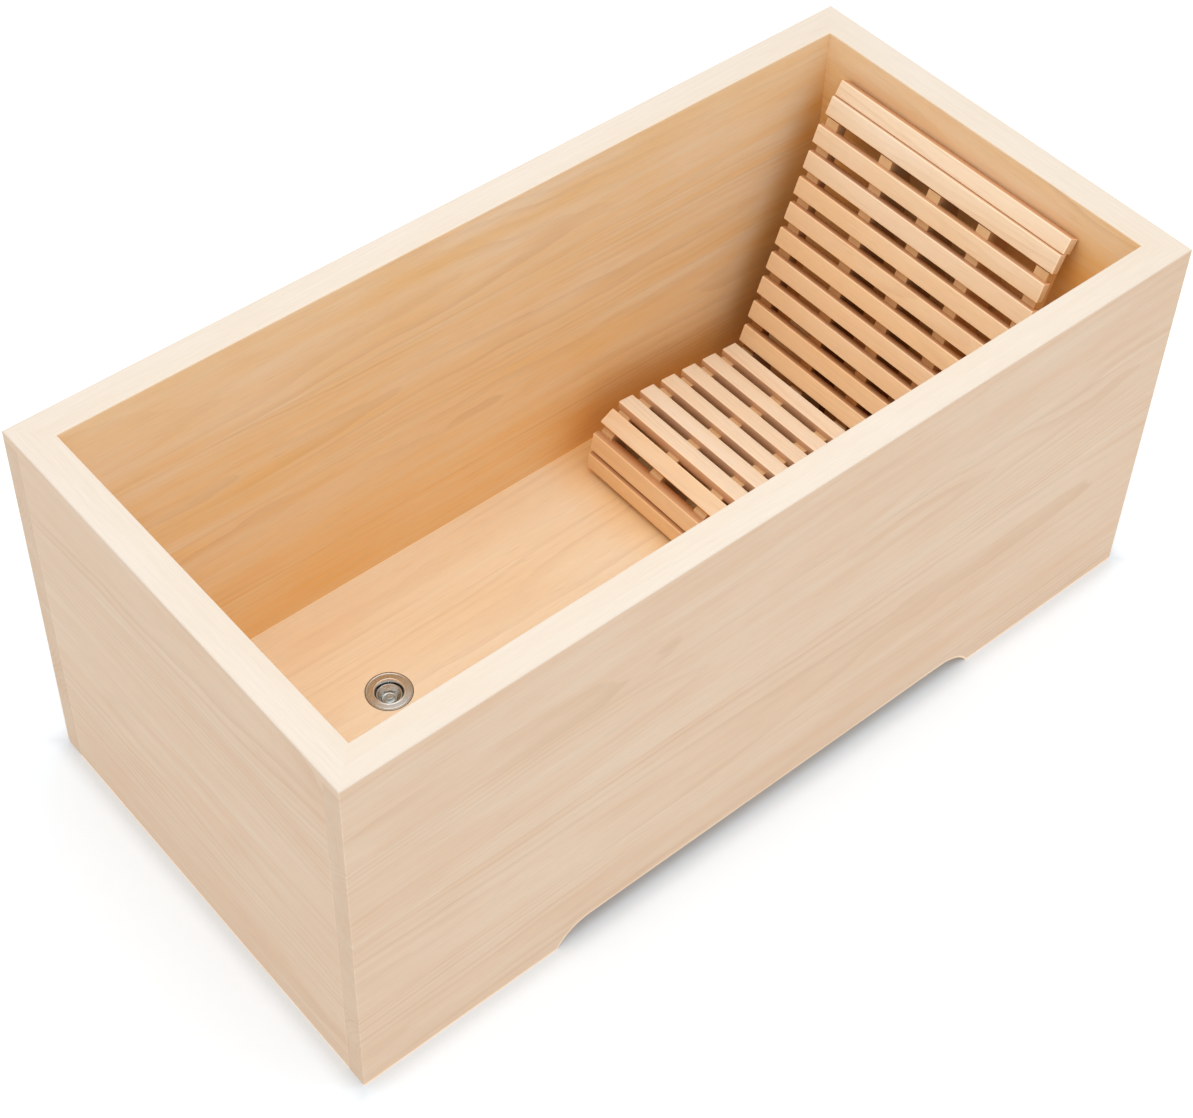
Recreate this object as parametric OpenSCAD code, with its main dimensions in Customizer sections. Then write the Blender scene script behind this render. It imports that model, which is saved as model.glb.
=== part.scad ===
// Japanese soaking tub: a box of hinoki boards with a slatted lounge and a waste in its floor.
// Millimetres. +X runs along the tub towards the lounge, +Y to the far long wall and +Z up.
// The origin is at the middle of the ground that the tub stands on.

/* [Tub] */
// Outside length
tub_l = 1515; // [1400:1:1700]
// Outside width
tub_w = 750; // [690:1:850]
// Height from the ground to the rim
tub_h = 675; // [640:1:760]
// Thickness of the wall boards
wall_t = 52; // [44:1:60]
// Radius of the eased edges of the rim
rim_round = 3; // [1:0.5:6]

/* [Wall joints] */
// Thickness of the tongue between two courses
tongue_t = 14; // [8:1:16]
// Height of the tongue
tongue_h = 9; // [5:1:14]
// Thickness of the long wall's end that laps over the short wall
lap_t = 34; // [32:1:38]
// Height of the mitred part of the rim
mitre_h = 15; // [8:1:25]
// Radius of the corner dowels
corner_dowel_r = 6; // [4:0.5:8]
// Length of the corner dowels
corner_dowel_l = 60; // [40:1:80]

/* [Arch under the long walls] */
// Height of the arch
arch_h = 35; // [25:1:45]
// Length of the foot left at each end
foot_l = 340; // [250:1:420]
// Radius where the arch comes down to the foot
arch_r = 72; // [50:1:100]

/* [Floor] */
// Thickness of the floor boards
floor_t = 22; // [18:1:30]
// Wood left between the arch and the floor groove
over_arch = 3; // [2:0.5:10]
// Depth of the groove in the walls that holds the floor
floor_groove = 12; // [8:1:14]
// Thickness of the tongue between two floor boards
floor_tongue_t = 7; // [5:0.5:9]
// Width of that tongue
floor_tongue_w = 7; // [5:0.5:9]
// Width of a bearer under the floor
bearer_w = 45; // [30:1:60]
// Gap from a bearer's end to the long wall
bearer_end = 8; // [1:0.5:20]
// Distance between the bearers
bearer_step = 500; // [420:1:560]
// Radius of the shank of the bearer screws
screw_r = 2.2; // [1.5:0.1:3]
// Length of the bearer screws
screw_l = 40; // [32:1:42]
// Depth of the pocket in the bearer under a screw's head
screw_pocket = 14; // [8:1:18]

/* [Waste] */
// Distance from the foot wall to the middle of the waste
waste_in = 354; // [300:1:420]
// Distance from the tub's middle line to the middle of the waste
waste_side = 107; // [80:1:130]
// Radius of the flange
flange_r = 37; // [34:0.5:42]
// Thickness of the flange
flange_t = 3; // [2:0.25:4]
// How far the flange stands above the floor
flange_proud = 0.5; // [0:0.1:2]
// Radius of the bowl inside the flange
bowl_r = 22.5; // [20:0.5:24]
// Depth of the bowl below the floor's surface
bowl_d = 13; // [11:0.5:14]
// Thickness of the metal round the bowl
bowl_wall = 1.5; // [1:0.1:3]
// Outside radius of the tail
tail_r = 19; // [18:0.25:20]
// Thickness of the tail's wall
tail_wall = 2.5; // [1.5:0.1:3]
// Thickness of the rubber seal, of the washer and of the plug's ring
rubber_t = 2; // [1.5:0.1:3]
// Width across the flats of the locknut
nut_flats = 64; // [60:1:72]
// Height of the locknut
nut_h = 8; // [6:0.5:10]
// Height of the tail's end above the ground
tail_gap = 5; // [2:0.5:8]

/* [Plug] */
// Outside radius of the dished cup
cup_r = 20; // [18:0.25:20.5]
// Depth of the cup's rim below the floor's surface
cup_sink = 6; // [4:0.5:7]
// Radius of the flat bottom inside the cup
cup_flat_r = 10.5; // [8:0.5:12]
// Radius of the knob
knob_r = 7; // [5:0.5:8]
// Height of the knob
knob_h = 6.5; // [5:0.5:9]

/* [Lounge] */
// Length of the slats
lounge_w = 486; // [400:1:540]
// Distance from the slats' ends to the far long wall
lounge_far_gap = 54; // [20:1:80]
// Distance from the cap slat to the head wall
cap_gap = 1.8; // [1:0.1:25]
// Height of the back of the seat above the floor
seat_back_h = 102; // [90:1:130]
// Angle by which the seat rises towards the front
seat_tilt = 5; // [2:0.5:8]
// Angle by which the backrest leans back from upright
back_lean = 19; // [15:0.5:25]
// Radius of the eased edges of the slats
slat_round = 3; // [1:0.5:4]

/* [Seat slats] */
// Width of a seat slat
seat_w = 30; // [24:0.5:34]
// Thickness of a seat slat
seat_t = 20; // [17:0.5:24]
// Distance from one seat slat to the next
seat_step = 46; // [42:0.5:50]
// Gap from the seat to the backrest
seat_back_gap = 7.3; // [5:0.1:12]
// Height at which the backrest starts above the back of the seat
seat_back_rise = 1; // [0:0.1:4]
// Distance ahead of the seat at which the nose slat starts
nose_gap = 12.8; // [10:0.1:18]
// How far the nose slat starts below the seat
nose_fall = 7.4; // [4:0.1:10]
// Angle of the nose slat
nose_tilt = 30; // [20:1:40]
// How far the top of the front slats stands ahead of the nose slat
nose_set = 14.2; // [12:0.1:20]
// How far the top of the front slats lies below the nose slat
nose_drop = 17.4; // [15:0.1:24]
// Angle by which the upper front slat leans back
front_lean = 9; // [4:0.5:14]
// Height of the gap between the two front slats
front_gap = 6.3; // [4:0.1:10]
// How far the lower front slat stands ahead of the upper one
front_set = 3.7; // [1:0.1:6]
// Gap below the lower front slat
front_lift = 9; // [4:0.5:15]

/* [Back slats] */
// Width of a back slat
back_w = 33; // [28:0.5:38]
// Thickness of a back slat
back_t = 16; // [14:0.5:20]
// Distance from one back slat to the next
back_step = 48; // [44:0.5:50]
// How far the top back slat is set back
top_back = 7.5; // [4:0.1:9]
// How much further the top back slat leans back
top_lean = 4; // [2:0.5:8]
// How much further the top back slat stands above the slat below it
top_rise = 2; // [1:0.1:6]
// Width of the cap slat
cap_w = 27; // [20:0.5:32]
// Thickness of the cap slat
cap_t = 20; // [16:0.5:24]
// How much further the cap slat leans back than the top back slat
cap_lean = 5; // [2:0.5:8]
// How far the cap slat is set back from the top back slat
cap_back = 5; // [3:0.1:8]
// Gap between the top back slat and the cap slat
cap_rise = 0.8; // [0.5:0.1:4]

/* [Ribs] */
// Thickness of a rib
rib_t = 25; // [20:1:30]
// Distance from the middle rib to the next one
rib_in = 105; // [80:1:130]
// Distance from a slat's end to the outer rib
rib_inset = 6; // [1:0.5:10]
// Depth by which the slats are let into the ribs
seat_notch = 8; // [5:0.5:10]
// Depth by which the back slats are let into the ribs
back_notch = 6; // [4:0.5:8]
// Depth of a back rib behind the slats' faces
back_rib_d = 95; // [80:1:120]
// Depth of the two outer back ribs behind the slats' faces
outer_rib_d = 34; // [32:1:60]
// Distance that the seat ribs run past the seat into the back ribs
rib_lap = 60; // [45:1:62]
// Height of the water passage under the seat ribs
rib_pass_h = 14; // [8:1:25]
// Length of the feet beside that passage
rib_foot = 80; // [40:1:90]
// Radius of the lounge dowels
dowel_r = 3; // [2:0.25:4]
// Length of the lounge dowels
dowel_l = 23; // [18:0.5:23.5]
// Length of the dowels in the cap slat
cap_dowel_l = 19; // [15:0.5:20]

/* [Clearances] */
// Gap at the end of a tongue, a dowel or a floor board in its groove
end_gap = 0.5; // [0.2:0.1:1]
// Gap round a dowel or a screw
dowel_gap = 0.05; // [0.02:0.01:0.2]
// Gap between the lounge and what it stands on or leans against
lounge_clear = 0.3; // [0.2:0.1:1]
// Gap between the plug and the waste
plug_clear = 0.3; // [0.2:0.1:0.5]
// Gap between the waste and the hole in the floor
waste_clear = 0.6; // [0.3:0.1:1.5]

/* [Hidden] */
$fn = 48;
eps = 1;
big = 2000;

courses = 4;
floor_boards = 5;
seat_slats = 6;
back_slats = 10;
bearers = 3;
dowels_a_course = 2;

// heights and inner faces
course_h = tub_h / courses;
inner_x = tub_l / 2 - wall_t;
inner_y = tub_w / 2 - wall_t;
tongue_in = (wall_t - tongue_t) / 2;
dowel_in_lap = 20;
floor_under = arch_h + over_arch;
floor_top = floor_under + floor_t;
floor_board_w = 2 * inner_y / floor_boards;
screw_head_r = 2 * screw_r;
screw_head_h = 3;
function bearer_x(b) = (b - (bearers - 1) / 2) * bearer_step;

// waste
waste_x = waste_in - inner_x;
waste_y = waste_side;
body_r = bowl_r + bowl_wall;
waste_hole_r = body_r + waste_clear;
tail_in_r = tail_r - tail_wall;
throat_r = tail_in_r + 1.5;
flange_z = floor_top + flange_proud - flange_t;
flange_top = floor_top + flange_proud;
flange_ease = 0.8;
lip_h = 0.6;
bowl_z = floor_top - bowl_d;
nut_z = floor_under - rubber_t - nut_h;
thread_end = nut_z - 2;

// plug
cup_stem_r = throat_r - 0.5;
cup_t = 2;
cup_floor_z = bowl_z - 5;
cup_top = floor_top - cup_sink;
cup_edge = 0.5;
knob_stem_r = 2.5;
knob_neck_r = knob_r - 2;
knob_foot_r = cup_flat_r - 1.5;
knob_foot_h = 1;
knob_ease = 0.9;

// lounge: heights and places in the X-Z plane
lounge_y = inner_y - lounge_far_gap - lounge_w / 2;
back_dir = 90 - back_lean;
top_dir = back_dir - top_lean;
cap_dir = top_dir - cap_lean;
front_dir = 90 - front_lean;
seat_dir = -seat_tilt;
seat_depth_t = seat_t - seat_notch;
back_depth_t = back_t - back_notch;
function along(angle, d) = [d * cos(angle), d * sin(angle)];
function square_off(angle, d) = [d * sin(angle), -d * cos(angle)];
back_foot_rel = [seat_back_gap, seat_back_rise];
top_rel = back_foot_rel + along(back_dir, (back_slats - 1) * back_step + top_rise) + square_off(back_dir, top_back);
cap_rel = top_rel + along(top_dir, back_w + cap_rise) + square_off(top_dir, cap_back);
cap_rear_rel = cap_rel + along(cap_dir, cap_w) + square_off(cap_dir, cap_t);
seat_back = [inner_x - cap_gap - cap_rear_rel[0], floor_top + seat_back_h];
back_foot = seat_back + back_foot_rel;
top_foot = seat_back + top_rel;
cap_foot = seat_back + cap_rel;
seat_run = (seat_slats - 1) * seat_step + seat_w;
seat_front = seat_back - along(seat_dir, seat_run);
nose_top = seat_front - [nose_gap, nose_fall];
nose_foot = nose_top - along(nose_tilt, seat_w);
front_top = nose_foot - [nose_set, nose_drop];
front_w = (front_top[1] - floor_top - front_lift - front_gap) / (1 + cos(front_lean));
front_foot = front_top - along(front_dir, front_w);
front_x = front_foot[0] - front_set;
rib_floor = floor_top + lounge_clear;
rib_rear = seat_back[0] + rib_lap;
rib_out = lounge_w / 2 - rib_inset - rib_t / 2;
all_ribs = [-rib_out, -rib_in, 0, rib_in, rib_out];
inner_ribs = [-rib_in, 0, rib_in];
outer_ribs = [-rib_out, rib_out];
dowel_cover = 6.5;
// lap dowels of the inner ribs, from the floor under the back of the seat
inner_laps = [for (p = [[20, 30], [40, 60]]) [seat_back[0] + p[0], floor_top + p[1]]];
// lap dowels of the outer ribs, down the middle of the back rib
outer_laps = [for (d = [40, 75])
    back_foot - along(back_dir, d) + square_off(back_dir, (back_depth_t + outer_rib_d) / 2)];

// one slat: [foot of its face, direction of its face, width, thickness, length of its dowels]
front_list = [
    [[front_x, floor_top + front_lift], 90, front_w, seat_t, dowel_l],
    [front_foot, front_dir, front_w, seat_t, dowel_l]
];
nose_list = [[nose_foot, nose_tilt, seat_w, seat_t, dowel_l]];
seat_list = [for (i = [0:seat_slats - 1])
    [seat_front + along(seat_dir, i * seat_step), seat_dir, seat_w, seat_t, dowel_l]];
back_list = [for (i = [0:back_slats - 2])
    [back_foot + along(back_dir, i * back_step), back_dir, back_w, back_t, dowel_l]];
top_slat = [top_foot, top_dir, back_w, back_t, dowel_l];
cap_slat = [cap_foot, cap_dir, cap_w, cap_t, cap_dowel_l];
low_slats = concat(front_list, nose_list, seat_list);
high_slats = concat(back_list, [top_slat, cap_slat]);

// ---------- shared shapes ----------

// rectangle with round corners, its lower left corner at the origin
module soft_rectangle(w, h, r) {
    translate([r, 0])
        square([w - 2 * r, h]);
    translate([0, r])
        square([w, h - 2 * r]);
    for (x = [r, w - r])
        for (y = [r, h - r])
            translate([x, y])
                circle(r);
}

// a profile drawn in Y and Z, run along X
module run_x(length) {
    rotate([90, 0, 90])
        linear_extrude(height = length, center = true)
            children();
}

// a profile drawn in X and Z, run along Y
module run_y(length) {
    rotate([90, 0, 0])
        linear_extrude(height = length, center = true)
            children();
}

// ---------- tub walls ----------

// the profiles show a course at its end: 0 on the outer face, wall_t on the inner face
module course_profile(i) {
    if (i == courses - 1) {
        square([wall_t, course_h - rim_round]);
        translate([0, course_h - 4 * rim_round])
            soft_rectangle(wall_t, 4 * rim_round, rim_round);
    }
    else
        square([wall_t, course_h]);
}

module tongue_profile() {
    translate([tongue_in, course_h - eps])
        square([tongue_t, tongue_h + eps]);
}

// the groove for the course below, or for the floor
module groove_profile(i) {
    if (i > 0)
        translate([tongue_in, -eps])
            square([tongue_t, tongue_h + end_gap + eps]);
    else
        translate([wall_t - floor_groove, floor_under])
            square([floor_groove + eps, floor_t]);
}

// the part of a long wall's end that makes room for the short wall, in plan
module lap_cut(i) {
    rim = i == courses - 1;
    low_h = rim ? course_h - mitre_h : course_h + eps;
    translate([-eps, lap_t, -eps])
        cube([wall_t + eps, wall_t, low_h + eps]);
    if (rim)
        translate([0, 0, course_h - mitre_h])
            linear_extrude(height = mitre_h + eps)
                polygon([[-eps, -eps], [-eps, wall_t + eps], [wall_t + eps, wall_t + eps]]);
}

// cylinders along Y at one corner: the dowels, or the holes for them
module corner_pegs(i, r, extra) {
    for (k = [1:dowels_a_course])
        translate([wall_t / 2, lap_t - dowel_in_lap - extra, (k - 0.5) * course_h / dowels_a_course])
            rotate([-90, 0, 0])
                cylinder(r = r, h = corner_dowel_l + 2 * extra);
}

// puts what is drawn at the near corner of the foot end at all four corners
module at_corners() {
    for (sx = [0, 1])
        for (sy = [0, 1])
            mirror([sx, 0, 0])
                mirror([0, sy, 0])
                    translate([-tub_l / 2, -tub_w / 2, 0])
                        children();
}

// the arch's opening: a flat top that comes down to each foot in a round
module arch() {
    flat = tub_l / 2 - foot_l - sqrt(2 * arch_h * arch_r - arch_h * arch_h);
    intersection() {
        union() {
            translate([-flat, -arch_r])
                square([2 * flat, arch_r + arch_h]);
            for (x = [-flat, flat])
                translate([x, arch_h - arch_r])
                    circle(arch_r, $fn = 96);
        }
        translate([-tub_l / 2, -eps])
            square([tub_l, arch_h + 2 * eps]);
    }
}

module long_wall_board(i) {
    difference() {
        translate([0, -tub_w / 2, i * course_h]) {
            run_x(tub_l)
                course_profile(i);
            if (i < courses - 1)
                run_x(2 * inner_x - 2 * end_gap)
                    tongue_profile();
        }
        translate([0, -tub_w / 2, i * course_h])
            run_x(2 * inner_x)
                groove_profile(i);
        for (sx = [0, 1])
            mirror([sx, 0, 0])
                translate([-tub_l / 2, -tub_w / 2, i * course_h]) {
                    lap_cut(i);
                    corner_pegs(i, corner_dowel_r + dowel_gap, end_gap);
                }
        if (i == 0)
            translate([0, -tub_w / 2 + wall_t / 2, 0])
                run_y(wall_t + 2 * eps)
                    arch();
    }
}

module short_wall_board(i) {
    rim = i == courses - 1;
    low_h = rim ? course_h - mitre_h : course_h + tongue_h;
    z0 = i * course_h;
    difference() {
        intersection() {
            translate([-tub_l / 2, 0, z0])
                run_y(tub_w)
                    difference() {
                        union() {
                            course_profile(i);
                            if (!rim)
                                tongue_profile();
                        }
                        groove_profile(i);
                    }
            union() {
                translate([-tub_l / 2, -tub_w / 2 + lap_t, z0])
                    cube([wall_t, tub_w - 2 * lap_t, low_h]);
                if (rim)
                    translate([0, 0, z0 + low_h])
                        linear_extrude(height = mitre_h + eps)
                            short_rim_plan();
            }
        }
        for (sy = [0, 1])
            mirror([0, sy, 0])
                translate([-tub_l / 2, -tub_w / 2, z0])
                    corner_pegs(i, corner_dowel_r + dowel_gap, end_gap);
    }
}

// plan of the short wall's mitred rim
module short_rim_plan() {
    x0 = -tub_l / 2;
    y0 = tub_w / 2;
    polygon([[x0, -y0], [x0 + wall_t, -y0 + wall_t], [x0 + wall_t, y0 - wall_t], [x0, y0]]);
}

module near_wall_board(i) {
    color("#e6cdb0")
        long_wall_board(i);
}

module far_wall_board(i) {
    color("#e6cdb0")
        mirror([0, 1, 0])
            long_wall_board(i);
}

module foot_wall_board(i) {
    color("#e3c9ab")
        short_wall_board(i);
}

module head_wall_board(i) {
    color("#e3c9ab")
        mirror([1, 0, 0])
            short_wall_board(i);
}

module corner_dowels() {
    color("#cfa877")
        for (i = [0:courses - 1])
            at_corners()
                translate([0, 0, i * course_h])
                    corner_pegs(i, corner_dowel_r, 0);
}

// ---------- floor ----------

// one floor board seen at its end, with its near edge at the origin
module floor_profile(i) {
    near = i == 0 ? floor_groove - end_gap : 0;
    far = i == floor_boards - 1 ? floor_groove - end_gap : 0;
    mid = floor_t / 2 - floor_tongue_t / 2;
    difference() {
        union() {
            translate([-near, 0])
                square([floor_board_w + near + far, floor_t]);
            if (i < floor_boards - 1)
                translate([floor_board_w - eps, mid])
                    square([floor_tongue_w + eps, floor_tongue_t]);
        }
        if (i > 0)
            translate([-eps, mid])
                square([floor_tongue_w + end_gap + eps, floor_tongue_t]);
    }
}

// puts what is drawn on the ground under the place of every bearer screw
module at_screws() {
    for (b = [0:bearers - 1])
        for (i = [0:floor_boards - 1])
            translate([bearer_x(b), -inner_y + (i + 0.5) * floor_board_w, 0])
                children();
}

// every bearer screw, or every hole for one
module bearer_screw_set(gap, extra) {
    at_screws()
        translate([0, 0, screw_pocket]) {
            cylinder(r = screw_r + gap, h = screw_l + extra);
            cylinder(r1 = screw_head_r + gap, r2 = screw_r + gap, h = screw_head_h);
        }
}

module floor_board(i) {
    color("#f0d2a0")
        difference() {
            translate([0, -inner_y + i * floor_board_w, floor_under])
                run_x(2 * (inner_x + floor_groove - end_gap))
                    floor_profile(i);
            translate([waste_x, waste_y, floor_under - eps])
                cylinder(r = waste_hole_r, h = floor_t + 2 * eps);
            translate([waste_x, waste_y, flange_z - rubber_t])
                cylinder(r = flange_r + waste_clear, h = flange_t + rubber_t + eps);
            bearer_screw_set(dowel_gap, end_gap);
        }
}

module floor_bearers() {
    color("#e2bd88")
        difference() {
            for (b = [0:bearers - 1])
                translate([bearer_x(b) - bearer_w / 2, -inner_y + bearer_end, 0])
                    cube([bearer_w, 2 * (inner_y - bearer_end), floor_under]);
            bearer_screw_set(dowel_gap, end_gap);
            at_screws()
                translate([0, 0, -eps])
                    cylinder(r = screw_head_r + end_gap, h = screw_pocket + eps);
        }
}

module bearer_screws() {
    color("#b9bcc0")
        bearer_screw_set(0, 0);
}

// ---------- waste and plug ----------

module at_waste() {
    translate([waste_x, waste_y, 0])
        children();
}

module waste_body() {
    color("#b7aea3")
        at_waste()
            difference() {
                rotate_extrude()
                    polygon([
                        [0, tail_gap],
                        [tail_r, tail_gap],
                        [tail_r, thread_end],
                        [body_r, thread_end],
                        [body_r, flange_z],
                        [flange_r, flange_z],
                        [flange_r, flange_top - flange_ease],
                        [flange_r - flange_ease, flange_top],
                        [body_r + lip_h, flange_top],
                        [body_r, flange_top + lip_h],
                        [0, flange_top + lip_h]
                    ]);
                translate([0, 0, bowl_z - plug_clear])
                    cylinder(r = bowl_r, h = floor_top);
                translate([0, 0, cup_floor_z - cup_t - plug_clear])
                    cylinder(r = throat_r, h = floor_top);
                cylinder(r = tail_in_r, h = floor_top);
            }
}

module rubber_washer(z, outer) {
    translate([0, 0, z])
        difference() {
            cylinder(r = outer, h = rubber_t);
            translate([0, 0, -eps])
                cylinder(r = body_r, h = rubber_t + 2 * eps);
        }
}

module waste_seal() {
    color("#3a3a3a")
        at_waste()
            rubber_washer(flange_z - rubber_t, flange_r - 1);
}

module waste_washer() {
    color("#3a3a3a")
        at_waste()
            rubber_washer(floor_under - rubber_t, nut_flats / 2);
}

module waste_locknut() {
    color("#c3c6c9")
        at_waste()
            translate([0, 0, nut_z])
                difference() {
                    cylinder(r = nut_flats / 2 / cos(30), h = nut_h, $fn = 6);
                    translate([0, 0, -eps])
                        cylinder(r = body_r, h = nut_h + 2 * eps);
                }
}

module plug_cup() {
    color("#a89a8c")
        at_waste()
            difference() {
                rotate_extrude()
                    polygon([
                        [0, cup_floor_z - cup_t],
                        [cup_stem_r, cup_floor_z - cup_t],
                        [cup_stem_r, bowl_z + rubber_t],
                        [cup_r, bowl_z + rubber_t],
                        [cup_r, cup_top - cup_edge],
                        [cup_r - cup_edge, cup_top],
                        [cup_r - 3 * cup_edge, cup_top],
                        [cup_flat_r, cup_floor_z],
                        [0, cup_floor_z]
                    ]);
                translate([0, 0, cup_floor_z - cup_t - eps])
                    cylinder(r = knob_stem_r + dowel_gap, h = cup_t + 2 * eps);
            }
}

module plug_ring() {
    color("#2f2f2f")
        at_waste()
            translate([0, 0, bowl_z])
                difference() {
                    cylinder(r = bowl_r - plug_clear, h = rubber_t);
                    translate([0, 0, -eps])
                        cylinder(r = cup_stem_r, h = rubber_t + 2 * eps);
                }
}

module plug_knob() {
    color("#9ea7aa")
        at_waste()
            translate([0, 0, cup_floor_z])
                rotate_extrude()
                    polygon([
                        [0, -cup_t],
                        [knob_stem_r, -cup_t],
                        [knob_stem_r, 0],
                        [knob_foot_r, 0],
                        [knob_foot_r, knob_foot_h],
                        [knob_neck_r, knob_foot_h + knob_ease],
                        [knob_neck_r, knob_h - 3 * knob_ease],
                        [knob_r, knob_h - 2 * knob_ease],
                        [knob_r, knob_h - knob_ease],
                        [knob_r - knob_ease, knob_h],
                        [0, knob_h]
                    ]);
}

// ---------- lounge ----------

// cross-section of a slat where it lies, in X and Z
module slat_section(s) {
    translate(s[0])
        rotate(s[1])
            translate([0, -s[3]])
                soft_rectangle(s[2], s[3], slat_round);
}

// dowels, or holes for them, at the back of a slat: X along its face, Z out of it
module slat_pegs(s, ribs, r, extra) {
    translate([s[0][0], lounge_y, s[0][1]])
        rotate([0, -s[1], 0])
            for (y = ribs)
                translate([s[2] / 2, y, extra - dowel_cover])
                    mirror([0, 0, 1])
                        cylinder(r = r, h = s[4] + 2 * extra);
}

module slat(s, ribs) {
    color("#efca98")
        difference() {
            translate([0, lounge_y, 0])
                run_y(lounge_w)
                    slat_section(s);
            slat_pegs(s, ribs, dowel_r + dowel_gap, end_gap);
        }
}

// everything on the face side of a line that lies a given depth behind a slat's face
module face_side(s, depth, from) {
    translate(s[0])
        rotate(s[1])
            translate([from, -depth])
                square([big, big]);
}

module seat_rib_plan() {
    width = rib_rear - front_x - seat_depth_t;
    difference() {
        translate([front_x + seat_depth_t, rib_floor])
            square([width, seat_back_h + seat_run]);
        face_side(front_list[1], seat_depth_t, -big / 2);
        face_side(nose_list[0], seat_depth_t, -big / 2);
        face_side(seat_list[0], seat_depth_t, -big / 2);
        translate([front_x + seat_depth_t + rib_foot, rib_floor - eps])
            square([width - 2 * rib_foot - rib_lap, rib_pass_h + eps]);
        for (s = low_slats)
            slat_section(s);
    }
}

module back_rib_plan(depth) {
    difference() {
        translate([seat_front[0], rib_floor])
            square([inner_x - lounge_clear - seat_front[0], tub_h - rib_floor]);
        face_side(back_list[0], back_depth_t, -big / 2);
        translate(back_foot)
            rotate(back_dir)
                translate([-big / 2, -depth - big])
                    square([big, big]);
        face_side(top_slat, back_depth_t, -top_rise);
        face_side(cap_slat, cap_t - back_notch, -cap_rise);
        translate(cap_foot)
            rotate(cap_dir)
                translate([cap_w - back_notch, -big / 2])
                    square([big, big]);
        for (s = high_slats)
            slat_section(s);
    }
}

// cylinders through the lap of a seat rib and a back rib
module lap_pegs(y, laps, r, extra) {
    for (p = laps)
        translate([p[0], lounge_y + y, p[1]])
            rotate([90, 0, 0])
                cylinder(r = r, h = dowel_l + 2 * extra, center = true);
}

// the half of a lap joint that is cut away: side is 1 or -1
module lap_half(y, depth, side) {
    translate([0, lounge_y + y + side * rib_t / 2, 0])
        run_y(rib_t)
            intersection() {
                seat_rib_plan();
                back_rib_plan(depth);
            }
}

module seat_rib(y, depth, laps) {
    color("#e2ba86")
        difference() {
            translate([0, lounge_y + y, 0])
                run_y(rib_t)
                    seat_rib_plan();
            lap_half(y, depth, 1);
            lap_pegs(y, laps, dowel_r + dowel_gap, end_gap);
            for (s = low_slats)
                slat_pegs(s, [y], dowel_r + dowel_gap, end_gap);
        }
}

module back_rib(y, depth, laps, slats) {
    color("#dfb581")
        difference() {
            translate([0, lounge_y + y, 0])
                run_y(rib_t)
                    back_rib_plan(depth);
            lap_half(y, depth, -1);
            lap_pegs(y, laps, dowel_r + dowel_gap, end_gap);
            for (s = slats)
                slat_pegs(s, [y], dowel_r + dowel_gap, end_gap);
        }
}

module lounge_dowels() {
    color("#cfa877") {
        for (s = low_slats)
            slat_pegs(s, all_ribs, dowel_r, 0);
        for (s = back_list)
            slat_pegs(s, all_ribs, dowel_r, 0);
        for (s = [top_slat, cap_slat])
            slat_pegs(s, inner_ribs, dowel_r, 0);
        for (y = inner_ribs)
            lap_pegs(y, inner_laps, dowel_r, 0);
        for (y = outer_ribs)
            lap_pegs(y, outer_laps, dowel_r, 0);
    }
}

// ---------- the pieces ----------

for (i = [1:courses])
    near_wall_board(i - 1);
for (i = [1:courses])
    far_wall_board(i - 1);
for (i = [1:courses])
    head_wall_board(i - 1);
for (i = [1:courses])
    foot_wall_board(i - 1);
for (i = [1:floor_boards])
    floor_board(i - 1);
corner_dowels();
floor_bearers();
bearer_screws();
for (i = [1:2])
    slat(front_list[i - 1], all_ribs);
slat(nose_list[0], all_ribs);  // nose_slat
for (i = [1:seat_slats])
    slat(seat_list[i - 1], all_ribs);
for (i = [1:back_slats - 1])
    slat(back_list[i - 1], all_ribs);
slat(top_slat, inner_ribs);
slat(cap_slat, inner_ribs);
for (i = [1:3])
    seat_rib(inner_ribs[i - 1], back_rib_d, inner_laps);
for (y = outer_ribs)  // outer_seat_ribs
        seat_rib(y, outer_rib_d, outer_laps);
for (i = [1:3])
    back_rib(inner_ribs[i - 1], back_rib_d, inner_laps, high_slats);
for (y = outer_ribs)  // outer_back_ribs
        back_rib(y, outer_rib_d, outer_laps, back_list);
lounge_dowels();
waste_body();
waste_seal();
waste_washer();
waste_locknut();
plug_cup();
plug_ring();
plug_knob();
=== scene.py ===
"""Japanese soaking tub.

Finishes for its boards and fittings, a turned waste and plug, slats with eased edges, and a studio.
"""

import math

import bmesh
import bpy
from mathutils import Matrix, Vector


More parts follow.
